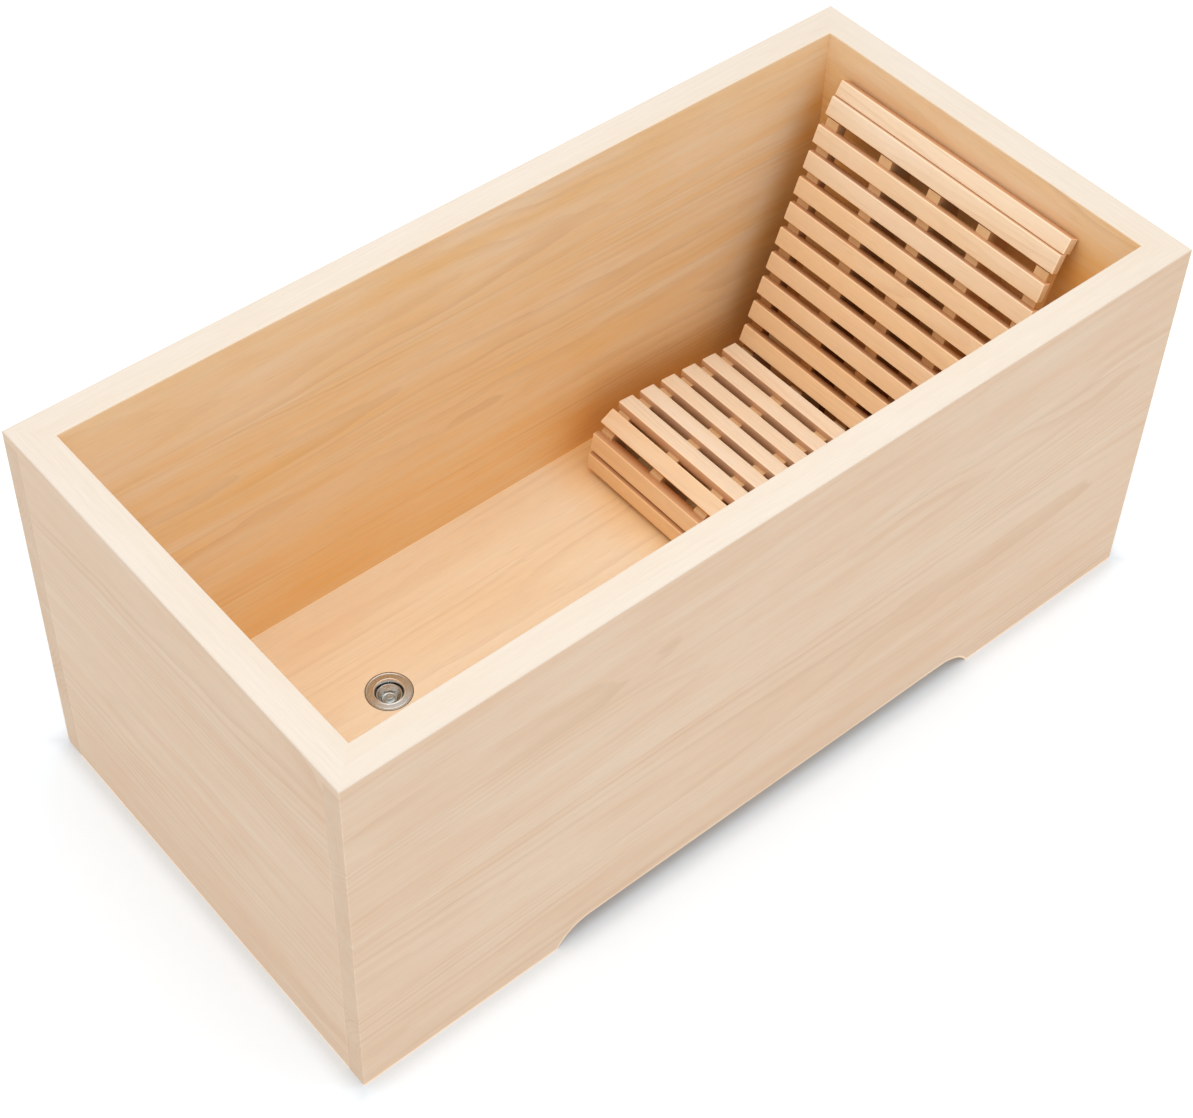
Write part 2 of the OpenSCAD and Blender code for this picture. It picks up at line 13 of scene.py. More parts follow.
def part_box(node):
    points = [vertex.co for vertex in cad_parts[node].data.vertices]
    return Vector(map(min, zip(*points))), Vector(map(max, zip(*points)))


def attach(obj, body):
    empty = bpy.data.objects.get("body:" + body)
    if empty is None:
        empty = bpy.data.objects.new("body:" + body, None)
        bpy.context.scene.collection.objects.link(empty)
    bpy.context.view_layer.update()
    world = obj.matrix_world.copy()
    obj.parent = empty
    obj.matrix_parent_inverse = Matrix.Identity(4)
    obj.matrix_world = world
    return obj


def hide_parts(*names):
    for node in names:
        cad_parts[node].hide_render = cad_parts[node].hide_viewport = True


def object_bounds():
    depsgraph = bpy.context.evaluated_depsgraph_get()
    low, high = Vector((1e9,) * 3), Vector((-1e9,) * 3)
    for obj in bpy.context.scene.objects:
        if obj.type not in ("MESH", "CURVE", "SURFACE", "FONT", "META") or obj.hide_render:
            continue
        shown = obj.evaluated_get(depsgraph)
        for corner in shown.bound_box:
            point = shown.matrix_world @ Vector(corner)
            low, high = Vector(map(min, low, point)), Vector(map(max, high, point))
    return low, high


bl_info = {
    "name": "Japanese soaking tub",
    "version": (1, 0, 0),
    "blender": (4, 5, 0),
    "location": "3D View > Sidebar > Tub",
    "description": "Finishes the boards of a soaking tub and models its slats, waste and plug",
    "category": "Object",
}

X = Vector((1, 0, 0))
Y = Vector((0, 1, 0))
Z = Vector((0, 0, 1))

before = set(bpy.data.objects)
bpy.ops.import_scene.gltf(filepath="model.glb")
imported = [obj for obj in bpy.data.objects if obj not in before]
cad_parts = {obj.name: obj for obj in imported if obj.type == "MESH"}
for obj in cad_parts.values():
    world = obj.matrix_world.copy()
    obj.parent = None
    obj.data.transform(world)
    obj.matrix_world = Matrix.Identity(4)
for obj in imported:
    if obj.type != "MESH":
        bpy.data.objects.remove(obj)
CAD_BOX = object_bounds()
TUB_H = CAD_BOX[1].z
FLOOR_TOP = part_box("floor_board_1")[1].z
COURSES = 4
COURSE_H = TUB_H / COURSES
FLOOR_BOARDS = 5

# metres: the arch's height, the radius of its ends and half of its level part
ARCH_H, ARCH_R, ARCH_FLAT = 0.035, 0.072, 0.3557

# metres: width and thickness of the slats
SEAT_SLAT = (0.030, 0.020)
BACK_SLAT = (0.033, 0.016)
CAP_SLAT = (0.027, 0.020)

SMOOTH_ANGLE = math.radians(35)

# how strongly each mark darkens the wood, and how strong the painted highlight along a planed foot
# is
FLECKS = 0.13
PORES = 0.08
CUT_ENDS = 0.24
SEAM_SHADE = 0.12
FOOT_HIGHLIGHT = 0.36

# metres by which the fibres make an edge uneven
FRAY = 0.0012

# what the colour of the rim is multiplied by towards its inner edge
CREAM = (0.99, 0.97, 0.94)

# metres: where the overhead lamp hangs, what it points at, and its two sides
LAMP_AT = (-0.1, -0.3, 3.2)
LAMP_AIM = (0, 0, 0.3)
LAMP_SIDES = (3.4, 2.6)
STUDIO_SIDE = 16

FILM_WIDTH = 36  # millimetres


# ---------- settings ----------


def colour(name, description, default):
    """A linear colour that the sidebar shows as a swatch."""
    return bpy.props.FloatVectorProperty(
        name=name, description=description, subtype="COLOR", size=3, min=0, max=1, default=default,
    )


def length(name, description, default, low=0.0, high=5.0):
    """A length in metres."""
    return bpy.props.FloatProperty(
        name=name, description=description, unit="LENGTH", default=default, min=low, max=high,
        precision=4,
    )


def angle(name, description, degrees):
    """An angle, written here in degrees and kept in radians."""
    return bpy.props.FloatProperty(
        name=name, description=description, subtype="ANGLE", default=math.radians(degrees)
    )


def share(name, description, default, high=1.0):
    """A plain number from 0 up."""
    return bpy.props.FloatProperty(
        name=name, description=description, subtype="FACTOR", default=default, min=0, max=high
    )


class TubWood(bpy.types.PropertyGroup):
    """Colours of the wood."""

    wall_pale: colour("Wall, pale", "Early wood of the wall boards", (0.945, 0.75, 0.57))
    wall_deep: colour("Wall, deep", "Deeper streaks in the wall boards", (0.895, 0.635, 0.435))
    inside_pale: colour("Inside, pale", "Early wood inside the tub", (0.965, 0.80, 0.60))
    inside_deep: colour("Inside, deep", "Deeper streaks inside the tub", (0.945, 0.645, 0.30))
    rim_pale: colour("Rim, pale", "Planed top of the rim", (0.855, 0.76, 0.655))
    rim_deep: colour("Rim, deep", "Streaks on top of the rim", (0.83, 0.715, 0.585))
    floor_pale: colour("Floor, pale", "Early wood of the floor boards", (0.95, 0.80, 0.60))
    floor_deep: colour("Floor, deep", "Deeper streaks in the floor boards", (0.93, 0.71, 0.47))
    slat_pale: colour("Slats, pale", "Early wood of the slats", (0.99, 0.79, 0.57))
    slat_deep: colour("Slats, deep", "Deeper streaks in the slats", (0.965, 0.70, 0.44))
    # painted shade: the sides and backs of the slats are darker, most of all deep in the gaps
    slat_side_shade: colour(
        "Slats, side", "Sides and backs of the slats, which keep more of the oil",
        (0.52, 0.18, 0.035),
    )
    rib_pale: colour("Ribs, pale", "Early wood of the ribs and bearers", (0.80, 0.54, 0.29))
    rib_deep: colour("Ribs, deep", "Deeper streaks in the ribs and bearers", (0.70, 0.42, 0.20))
    # painted shade: the tint that darkens the back ribs towards the seat
    rib_foot_shade: colour(
        "Ribs, low", "What their colour is multiplied by at the foot of the back",
        (0.44, 0.26, 0.10),
    )
    dowel_pale: colour("Dowels, pale", "Turned dowels", (0.72, 0.50, 0.30))
    dowel_deep: colour("Dowels, deep", "Streaks in the dowels", (0.60, 0.38, 0.20))
    # painted shade: the tint that darkens the wood low in the tub and on the shaded slats
    painted_shade_tint: colour(
        "Wet wood", "What the wood's colour is multiplied by low in the tub", (1.0, 0.91, 0.76)
    )
    # painted shade: the tint that darkens the wood under and behind the lounge
    lounge_shade_tint: colour(
        "Damp wood", "The same under and behind the lounge, where the wood dries slowly",
        (1.0, 0.80, 0.48),
    )
    line: colour("Late wood", "Thin lines of late wood in every board", (0.62, 0.36, 0.17))
    end_grain: colour("End grain", "Cut ends of the boards", (0.68, 0.53, 0.40))


class TubGrain(bpy.types.PropertyGroup):
    """How large and how strong the grain is."""

    ring_gap: length("Year ring", "Distance between two lines of late wood", 0.0065, 0.001, 0.02)
    slat_ring_gap: length(
        "Year ring in slats", "The same distance in the slats and ribs", 0.0042, 0.001, 0.02
    )
    figure: share("Figure", "Strength of the lines of late wood", 0.28)
    fibre: share("Fibre", "Strength of the fine fibres", 0.10)
    # the band along an edge is lighter: partly rubbed wear, partly a painted highlight
    wear_and_highlight_band: length("Rubbed edge", "Width of the rubbed band along an edge", 0.0022, 0.0, 0.01)
    seam: length("Seam", "Width of the dark line where two boards meet", 0.0007, 0.0, 0.003)


class TubSlats(bpy.types.PropertyGroup):
    """Shape and lean of the lounge's slats."""

    ease: length("Eased edge", "Radius along a slat", 0.0022, 0.0005, 0.006)
    end_ease: length("Eased end", "Chamfer round a slat's ends", 0.0012, 0.0002, 0.004)
    seat_lean: angle("Seat", "Slope of the seat slats", -5.0)
    nose_lean: angle("Nose", "Slope of the nose slat", 30.0)
    front_lean: angle("Front", "Slope of the upper front slat", 81.0)
    back_lean: angle("Back", "Slope of the back slats", 71.0)
    top_lean: angle("Top", "Slope of the top back slat", 67.0)
    cap_lean: angle("Cap", "Slope of the cap slat", 62.0)


class TubMetal(bpy.types.PropertyGroup):
    """Finish of the waste, the plug and their rubber."""

    steel: colour("Brushed steel", "Flange, bowl and cup", (0.585, 0.59, 0.575))
    knob: colour("Knob", "Knob of the plug", (0.44, 0.46, 0.44))
    rubber: colour("Rubber", "Seal, washer and ring", (0.028, 0.027, 0.026))
    brushing: length("Brushing", "Distance between two brushed lines", 0.0006, 0.0001, 0.005)


class TubStudio(bpy.types.PropertyGroup):
    """Floor, lamps and camera."""

    floor: colour("Floor", "Pale studio floor", (0.86, 0.86, 0.86))
    # painted shadow: the floor's colour for the camera, darker and bluer close to the tub
    floor_shadow_tint: colour(
        "Floor, seen", "The same beside the tub, for the camera alone", (0.83, 0.89, 0.94)
    )
    sky: share("Sky", "Strength of the even light from all round", 0.95, 4.0)
    key: bpy.props.FloatProperty(
        name="Overhead lamp", description="Power in watts", default=37.0, min=0
    )
    glow: share("Floor glow", "Light that the floor adds for the camera alone", 0.27)
    lens: bpy.props.FloatProperty(
        name="Lens", description="Focal length in millimetres", default=73.40, min=1
    )
    turn: angle("Turn", "Angle of the camera round the tub", -41.719)
    rise: angle("Rise", "Angle of the camera above the ground", 46.568)
    roll: angle("Roll", "Turn of the picture", 2.105)
    distance: length("Distance", "From the camera to the point it looks at", 3.6984, 0.1, 50)
    aim: bpy.props.FloatVectorProperty(
        name="Aim", description="Point that the camera looks at", subtype="XYZ", unit="LENGTH",
        default=(0.04905, 0.1029, 0.300),
    )
    shift: bpy.props.FloatProperty(
        name="Shift", description="Upright shift of the lens", default=-0.0796
    )


# ---------- shader maths ----------


class Tone:
    """One output socket; arithmetic on it adds Math nodes."""

    def __init__(self, finish, socket):
        self.finish = finish
        self.socket = socket

    def maths(self, operation, *others):
        values = dict(enumerate((self, *others)))
        return self.finish.node("ShaderNodeMath", {"operation": operation}, values)

    def __add__(self, other):
        return self.maths("ADD", other)

    def __mul__(self, other):
        return self.maths("MULTIPLY", other)

    def __sub__(self, other):
        return self.maths("SUBTRACT", other)

    def __truediv__(self, other):
        return self.maths("DIVIDE", other)

    def __rsub__(self, other):
        return self.finish.node("ShaderNodeMath", {"operation": "SUBTRACT"}, {0: other, 1: self})

    __radd__ = __add__
    __rmul__ = __mul__

    def span(self, low, high):
        """0 below low, 1 above high, and smooth in between."""
        return self.finish.node(
            "ShaderNodeMapRange", {"interpolation_type": "SMOOTHSTEP"},
            {"Value": self, "From Min": low, "From Max": high}, "Result",
        )


class Finish:
    """A material, or the world, that is built node by node."""

    def __init__(self, owner):
        self.owner = bpy.data.materials.new(owner) if isinstance(owner, str) else owner
        self.owner.use_nodes = True
        self.tree = self.owner.node_tree
        self.tree.nodes.clear()

    def node(self, kind, settings=None, values=None, output=0):
        """Adds a node with its settings and its numbers or links, and gives back one output."""
        made = self.tree.nodes.new(kind)
        for key, value in (settings or {}).items():
            setattr(made, key, value)
        for key, value in (values or {}).items():
            socket = made.inputs[key]
            if isinstance(value, Tone):
                self.tree.links.new(value.socket, socket)
            else:
                socket.default_value = value
        return Tone(self, made.outputs[output]) if made.outputs else made

    def split(self, vector):
        """The three parts of a vector."""
        parts = self.node("ShaderNodeSeparateXYZ", {}, {0: vector})
        return [Tone(self, out) for out in parts.socket.node.outputs]

    def join(self, x, y, z):
        """A vector from three parts."""
        return self.node("ShaderNodeCombineXYZ", {}, {0: x, 1: y, 2: z})

    def noise(self, x, y, z, detail=2.0, roughness=0.5):
        """Soft noise, 0 to 1 and about 0.5 on average."""
        place = self.join(x, y, z)
        return self.node(
            "ShaderNodeTexNoise", {},
            {"Vector": place, "Scale": 1.0, "Detail": detail, "Roughness": roughness},
        )

    def mix(self, settings, part, *tones):
        """Two colours put together by a Mix node, whose colour sockets are numbers 6 and 7."""
        first, second = (tone if isinstance(tone, Tone) else (*tone, 1.0) for tone in tones)
        return self.node("ShaderNodeMix", settings, {0: part, 6: first, 7: second}, 2)

    def blend(self, part, first, second):
        """A colour that goes from first to second."""
        return self.mix({"data_type": "RGBA"}, part, first, second)

    def tint(self, part, tone, other):
        """A colour that is multiplied by another where part is 1."""
        return self.mix({"data_type": "RGBA", "blend_type": "MULTIPLY"}, part, tone, other)

    def shade(self, tone, amount):
        """A colour made lighter or darker by a number."""
        return self.node("ShaderNodeVectorMath", {"operation": "SCALE"}, {0: tone, "Scale": amount})

    def along_axis(self, facing, axis):
        """1 where the surface faces along an axis, -1 where it faces the other way."""
        values = {0: facing, 1: axis}
        return self.node("ShaderNodeVectorMath", {"operation": "DOT_PRODUCT"}, values, "Value")

    def bump(self, height, strength, distance):
        """A normal that follows a height."""
        values = {"Strength": strength, "Distance": distance, "Height": height}
        return self.node("ShaderNodeBump", {}, values)

    def surface(self, steady, changing):
        """The shader: numbers that stay the same, and sockets that vary over the surface."""
        shader = self.node("ShaderNodeBsdfPrincipled", {}, {**steady, **changing}, "BSDF")
        self.node("ShaderNodeOutputMaterial", {}, {"Surface": shader})
        return self.owner


def put_on(piece, material):
    """The piece's one and only finish."""
    piece.data.materials.clear()
    piece.data.materials.append(material)


# ---------- wood ----------


class Plank:
    """Where a board lies: its middle, its half sizes and its axes.

    The axes run along the grain, across the board's face and through its thickness.
    """

    def __init__(self, low, high, across, through):
        self.middle = (low + high) / 2
        self.across = across
        self.through = through
        self.along = across.cross(through)
        half = (high - low) / 2
        axes = (self.along, across, through)
        self.half = [sum(abs(axis[k]) * half[k] for k in range(3)) for axis in axes]

    def turn(self):
        return Matrix((self.along, self.across, self.through)).transposed().to_euler()


def late_wood(f, along, across, through, seed, ring_gap, pith, lean, wavy):
    """Lines of late wood: rings about a pith, bent by the tree's slow sway and a finer ripple."""
    sway = f.noise(along * 0.9 + seed, across * 2.4, through * 2.4, 2.0) - 0.5
    ripple = f.noise(along * 5.0 + seed, across * 20.0, through * 20.0, 3.0) - 0.5
    wave = f.noise(along * 2.6, across * 8.0 + seed, through * 8.0, 2.0) - 0.5
    ring_across = across - pith[0] + along * lean[0] + sway * 0.050 + wave * (0.024 * wavy)
    ring_through = through - pith[1] + along * lean[1] + ripple * 0.006 + wave * (0.022 * wavy)
    radius = (ring_across * ring_across + ring_through * ring_through).maths("SQRT")
    turns = radius / ring_gap + sway * 2.0
    part = turns.maths("FRACT")
    year = f.noise(turns.maths("FLOOR") * 0.71 + seed, 0.0, 0.0, 0.0).span(0.32, 0.68)
    late = part.span(0.30, 0.93) * (1 - part.span(0.94, 1.0))
    patch = f.noise(along * 1.6 + seed, across * 9.0, through * 9.0 + 3.0, 2.0).span(0.42, 0.62)
    return late * (0.30 + year * 0.70) * (0.18 + patch * 0.82)


def painted_side_shade(f, facing, plank, through):
    """How much painted shade a slat gets: 0 on its face, from 0.5 to 1 down its sides, 0.8 on its
    back.
    """
    sideways = f.along_axis(facing, plank.across).maths("ABSOLUTE")
    backwards = f.along_axis(facing, -plank.through)
    depth = 0.5 - through / (2 * plank.half[2])
    shaded = sideways.span(0.50, 0.98) * (0.50 + depth * 0.50)
    return shaded.maths("MAXIMUM", backwards.span(0.5, 0.95) * 0.8)


def wood(
    name, plank, pale, deep, seed, ring_gap, pith, lean, figure, seams=(False, False),
    extra=None, side=None, wear_and_highlight_strength=0.07, wavy=0.3, foot=None,
):
    """Sawn wood: the pith lies outside the board, so every face shows its own cut of the rings.

    seams: whether another board follows on each side. extra: a function that gives other tones by
    place. side: the colour of the painted shade on the sides and back. foot: a function that gives
    the distance from the planed lower edge, along which a highlight is painted.
    """
    look = bpy.context.scene.tub_wood
    grain = bpy.context.scene.tub_grain
    f = Finish(name)
    place = f.node("ShaderNodeTexCoord", output="Object")
    facing = Tone(f, place.socket.node.outputs["Normal"])
    local = f.node(
        "ShaderNodeMapping", {"vector_type": "TEXTURE"},
        {"Vector": place, "Location": plank.middle, "Rotation": plank.turn()},
    )
    along, across, through = f.split(local)
    lines = late_wood(f, along, across, through, seed, ring_gap, pith, lean, wavy)
    fleck = f.noise(along * 17.0, across * 300.0 + seed, through * 300.0, 2.0, 0.6).span(0.57, 0.74)

    # tone: wide streaks, soft clouds, fine fibres and pores
    streak = f.noise(along * 1.1, across * 32.0 + seed, through * 32.0, 3.0, 0.6)
    cloud = f.noise(along * 4.0, across * 11.0, through * 11.0 + seed, 2.0)
    fibre = f.noise(along * 22.0, across * 900.0 + seed, through * 900.0, 3.0, 0.65)
    tone = (streak - 0.5) * 1.5 + (cloud - 0.5) * 1.3 + 0.42
    tone = tone.maths("MINIMUM", 1.0).maths("MAXIMUM", 0.0)
    calm = 1.0
    if extra:
        pale, deep, calm = extra(f, place, through, pale, deep)
    colour_here = f.blend(tone, pale, deep)
    marks = (lines * (grain.figure * figure) + fleck * FLECKS) * calm
    colour_here = f.blend(marks, colour_here, look.line)
    pores = f.noise(along * 70.0, across * 700.0, through * 700.0 + seed, 1.0).span(0.66, 0.80)
    colour_here = f.blend(pores * PORES, colour_here, look.line)

    # cut ends, and painted shade on the sides and back
    ends = f.along_axis(facing, plank.along).maths("ABSOLUTE").span(0.75, 0.95)
    colour_here = f.blend(ends * CUT_ENDS, colour_here, look.end_grain)
    if side:
        colour_here = f.blend(painted_side_shade(f, facing, plank, through), colour_here, side)

    # rubbed edges, lighter from wear and from a painted highlight, the seams to the next boards,
    # and a painted highlight along the planed foot
    fray = (fibre - 0.5) * FRAY
    gaps = [
        half - axis.maths("ABSOLUTE") for half, axis in zip(plank.half, (along, across, through))
    ]
    low = gaps[0].maths("MINIMUM", gaps[1])
    high = gaps[0].maths("MAXIMUM", gaps[1])
    edge = low.maths("MAXIMUM", high.maths("MINIMUM", gaps[2]))
    wear_and_highlight = 1 - (edge + fray).span(0.0, grain.wear_and_highlight_band)
    dark = None
    for wanted, inset in zip(seams, (across + plank.half[1], plank.half[1] - across)):
        if wanted:
            line = 1 - inset.maths("ABSOLUTE").span(grain.seam * 0.3, grain.seam)
            dark = line if dark is None else dark.maths("MAXIMUM", line)
            wear_and_highlight = wear_and_highlight * inset.span(grain.wear_and_highlight_band, grain.wear_and_highlight_band * 2)
    light = 1 + (fibre - 0.5) * (grain.fibre * 2) + wear_and_highlight * wear_and_highlight_strength
    # painted highlight along the planed foot
    if foot:
        planed = gaps[2].maths("MAXIMUM", foot(*f.split(place))) + fray
        light = light + (1 - planed.span(grain.wear_and_highlight_band, grain.wear_and_highlight_band * 1.8)) * FOOT_HIGHLIGHT
    if dark is not None:
        light = light - dark * SEAM_SHADE

    height = fibre * 0.5 + lines * 0.4 - pores * 0.4
    return f.surface(
        {"Specular IOR Level": 0.35},
        {
            "Base Color": f.shade(colour_here, light),
            "Roughness": 0.50 + (fibre - 0.5) * 0.16 + ends * 0.12 - wear_and_highlight * 0.08,
            "Normal": f.bump(height, 0.35, 0.0004),
        },
    )


def above_ground(x, y, z):
    """Distance from the lower edge of a short wall."""
    return z


def above_arch(x, y, z):
    """The same in a long wall, whose arch is level in the middle and comes down in a round."""
    past = (x.maths("ABSOLUTE") - ARCH_FLAT).maths("MAXIMUM", 0.0)
    rise = z - (ARCH_H - ARCH_R)
    return ((past * past + rise * rise).maths("SQRT") - ARCH_R).maths("MINIMUM", z)


def above_floor(z):
    """1 inside the tub and 0 at the level of the floor boards and below them."""
    return z.span(FLOOR_TOP - 0.004, FLOOR_TOP - 0.001)


def low_down(f, x, y, z):
    """1 at the tub's floor and 0 above about 0.33 m, with an uneven border: where shade is painted
    low in the tub.
    """
    return 1 - (z + (f.noise(x * 3.0, y * 3.0, z * 3.0) - 0.5) * 0.10).span(0.13, 0.33)


def lower_rib(f, x, y, z):
    """1 at the foot of a back rib and 0 at its top: where shade is painted on the ribs."""
    return 1 - (z + (f.noise(x * 9.0, y * 9.0, z * 9.0) - 0.5) * 0.06).span(0.16, 0.50)


def by_the_lounge(f, x, y, z):
    """1 under the seat and behind the backrest, where shade is painted."""
    shape = bpy.context.scene.tub_slats
    uneven = (f.noise(x * 9.0, y * 9.0, z * 9.0) - 0.5) * 0.03
    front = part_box("front_slat_1")[0].x
    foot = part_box("back_slat_1")[0]
    under = (x + uneven * 2.0).span(front - 0.08, front + 0.05)
    under = under * (1 - (z + uneven).span(foot.z - 0.04, foot.z + 0.04))
    lean = shape.back_lean
    behind = (x - foot.x) * math.sin(lean) - (z - foot.z) * math.cos(lean) + uneven
    behind = behind.span(-0.01, 0.06) * (1 - (z + uneven).span(0.52, 0.70))
    return under.maths("MAXIMUM", behind) * above_floor(z)


def painted_shade_tones(where, tint):
    """Painted shade: deeper and warmer wood in the place that a function of x, y and z gives."""

    def tones(f, place, through, pale, deep):
        part = where(f, *f.split(place))
        return f.tint(part, pale, tint), f.tint(part, deep, tint), 1.0

    return tones


def wall_tones(planed):
    """Inside, the wood is warmer, with painted shade low down and under and behind the lounge; the
    planed top of the rim is paler.
    """

    def tones(f, place, through, pale, deep):
        look = bpy.context.scene.tub_wood
        x, y, z = f.split(place)
        low, near = low_down(f, x, y, z), by_the_lounge(f, x, y, z)
        inner = through.span(0.020, 0.0255) * above_floor(z)
        here = []
        for outside, inside in ((pale, look.inside_pale), (deep, look.inside_deep)):
            # painted shade: darker and warmer low in the tub and under and behind the lounge
            inside = f.tint(near, f.tint(low, inside, look.painted_shade_tint), look.lounge_shade_tint)
            here.append(f.blend(inner, outside, inside))
        calm = 1 + inner * 0.1
        if not planed:
            return *here, calm
        top = z.span(TUB_H - 0.0030, TUB_H - 0.0006)
        cream = through.span(-0.001, 0.004) * 0.5
        planed_pale = f.blend(top, here[0], f.tint(cream, look.rim_pale, CREAM))
        planed_deep = f.blend(top, here[1], f.tint(cream, look.rim_deep, CREAM))
        return planed_pale, planed_deep, calm * (1 - top * 0.75)

    return tones


# ---------- modelling ----------


def drop_selection():
    for other in bpy.context.selected_objects:
        other.select_set(False)


def apply_place():
    bpy.ops.object.transform_apply(location=True, rotation=True, scale=True)


def pick_edges(piece, wanted):
    """Selects the edges whose two ends pass the test."""
    shape = bmesh.from_edit_mesh(piece.data)
    for e in shape.edges:
        e.select_set(wanted(e.verts[0].co, e.verts[1].co))
    bmesh.update_edit_mesh(piece.data)


def model_slat(name, width, thick, run, ease, end_ease):
    """One slat at the origin: its face up, its length along Y."""
    drop_selection()
    bpy.ops.mesh.primitive_cube_add(size=1)
    piece = bpy.context.object
    piece.name = name
    bpy.ops.object.mode_set(mode="EDIT")
    bpy.ops.mesh.select_mode(type="EDGE")
    bpy.ops.mesh.select_all(action="SELECT")
    bpy.ops.transform.resize(value=(width, run, thick))
    pick_edges(piece, lambda a, b: abs(a.y - b.y) > run / 2)
    bpy.ops.mesh.bevel(offset=ease, segments=5, affect="EDGES")
    pick_edges(piece, lambda a, b: abs(a.y - b.y) < 1e-6 and abs(abs(a.y) - run / 2) < 1e-6)
    bpy.ops.mesh.bevel(offset=end_ease, segments=2, affect="EDGES")
    bpy.ops.object.mode_set(mode="OBJECT")
    apply_place()
    bpy.ops.object.shade_smooth_by_angle(angle=SMOOTH_ANGLE)
    return piece


def copy_slat(model, name, middle, lean):
    """A copy with its own mesh, leant and moved to its place."""
    piece = model.copy()
    piece.data = model.data.copy()
    piece.name = piece.data.name = name
    bpy.context.collection.objects.link(piece)
    drop_selection()
    piece.select_set(True)
    bpy.context.view_layer.objects.active = piece
    piece.rotation_euler = (0, -lean, 0)
    piece.location = middle
    apply_place()
    return piece


def turned(name, middle, profile, steps=96):
    """A turned piece: a ring drawn out and widened along a closed profile of (radius, height)."""
    drop_selection()
    radius, height = profile[0]
    bpy.ops.mesh.primitive_circle_add(vertices=steps, radius=radius, location=(0, 0, height))
    piece = bpy.context.object
    piece.name = piece.data.name = name
    apply_place()
    bpy.ops.object.mode_set(mode="EDIT")
    bpy.ops.mesh.select_all(action="SELECT")
    for next_radius, next_height in (*profile[1:], profile[0]):
        bpy.ops.mesh.extrude_edges_move(
            MESH_OT_extrude_edges_indiv={},
            TRANSFORM_OT_translate={"value": (0, 0, next_height - height)},
        )
        grow = next_radius / radius
        bpy.ops.transform.resize(value=(grow, grow, 1), center_override=(0, 0, next_height))
        radius, height = next_radius, next_height
    bpy.ops.mesh.select_all(action="SELECT")
    bpy.ops.mesh.remove_doubles(threshold=1e-6)
    bpy.ops.mesh.normals_make_consistent(inside=False)
    bpy.ops.object.mode_set(mode="OBJECT")
    piece.location = middle
    apply_place()
    round_off = piece.modifiers.new("Rounded corners", "BEVEL")
    round_off.width = 0.0003
    round_off.segments = 2
    round_off.limit_method = "ANGLE"
    round_off.angle_limit = math.radians(30)
    bpy.ops.object.modifier_apply(modifier=round_off.name)
    bpy.ops.object.shade_smooth_by_angle(angle=SMOOTH_ANGLE)
    return piece


# ---------- metal and rubber ----------


def steel(name, middle, tint, dull, polish_and_highlight=(0.0, 0.0), painted_edge_shade=1.0):
    """Brushed stainless steel: fine rings about the middle and faint water marks.

    A lip between two radii is polished and painted with a highlight; an outer edge at a given
    radius is painted dark as the shade of its recess.
    """
    metal = bpy.context.scene.tub_metal
    f = Finish(name)
    local = f.node(
        "ShaderNodeMapping", {"vector_type": "TEXTURE"},
        {"Vector": f.node("ShaderNodeTexCoord", output="Object"), "Location": middle},
    )
    x, y, z = f.split(local)
    radius = (x * x + y * y).maths("SQRT")
    brushed = f.noise(radius / metal.brushing, z / metal.brushing, 0.0, 2.0, 0.7)
    marks = f.noise(x * 90.0, y * 90.0, z * 90.0, 4.0, 0.6)
    spots = f.noise(x * 420.0, y * 420.0, z * 420.0, 1.0).span(0.64, 0.74)
    light = 0.94 + (brushed - 0.5) * 0.30 + (marks - 0.5) * 0.06 - spots * 0.03
    rough = dull + (brushed - 0.5) * 0.16 + (marks - 0.5) * 0.08 + spots * 0.08
    tone = f.shade(f.join(*tint), light)
    if polish_and_highlight[1]:
        inner, outer = polish_and_highlight
        # painted highlight on the polished lip
        lip_highlight = radius.span(inner - 0.0002, inner) * (1 - radius.span(outer, outer + 0.0003))
        tone = f.blend(lip_highlight, tone, (0.82, 0.88, 0.93))
        rough = rough - lip_highlight * 0.08
    # painted shade at the outer edge, where the flange sits in its recess
    tone = f.blend(radius.span(painted_edge_shade - 0.0013, painted_edge_shade - 0.0004) * 0.85, tone, (0.16, 0.12, 0.09))
    return f.surface(
        {"Metallic": 1.0},
        {"Base Color": tone, "Roughness": rough, "Normal": f.bump(brushed, 0.25, 0.0001)},
    )


def rubber(name, tint):
    """Moulded rubber with a fine matt skin and a little chalky bloom."""
    f = Finish(name)
    x, y, z = f.split(f.node("ShaderNodeTexCoord", output="Object"))
    skin = f.noise(x * 2500.0, y * 2500.0, z * 2500.0, 2.0)
    bloom = f.noise(x * 120.0, y * 120.0, z * 120.0, 3.0).span(0.45, 0.75)
    return f.surface(
        {},
        {
            "Base Color": f.blend(bloom * 0.25, tint, (0.16, 0.155, 0.15)),
            "Roughness": 0.62 + (skin - 0.5) * 0.2 + bloom * 0.12,
            "Normal": f.bump(skin, 0.3, 0.0001),
        },
    )


# ---------- operators ----------


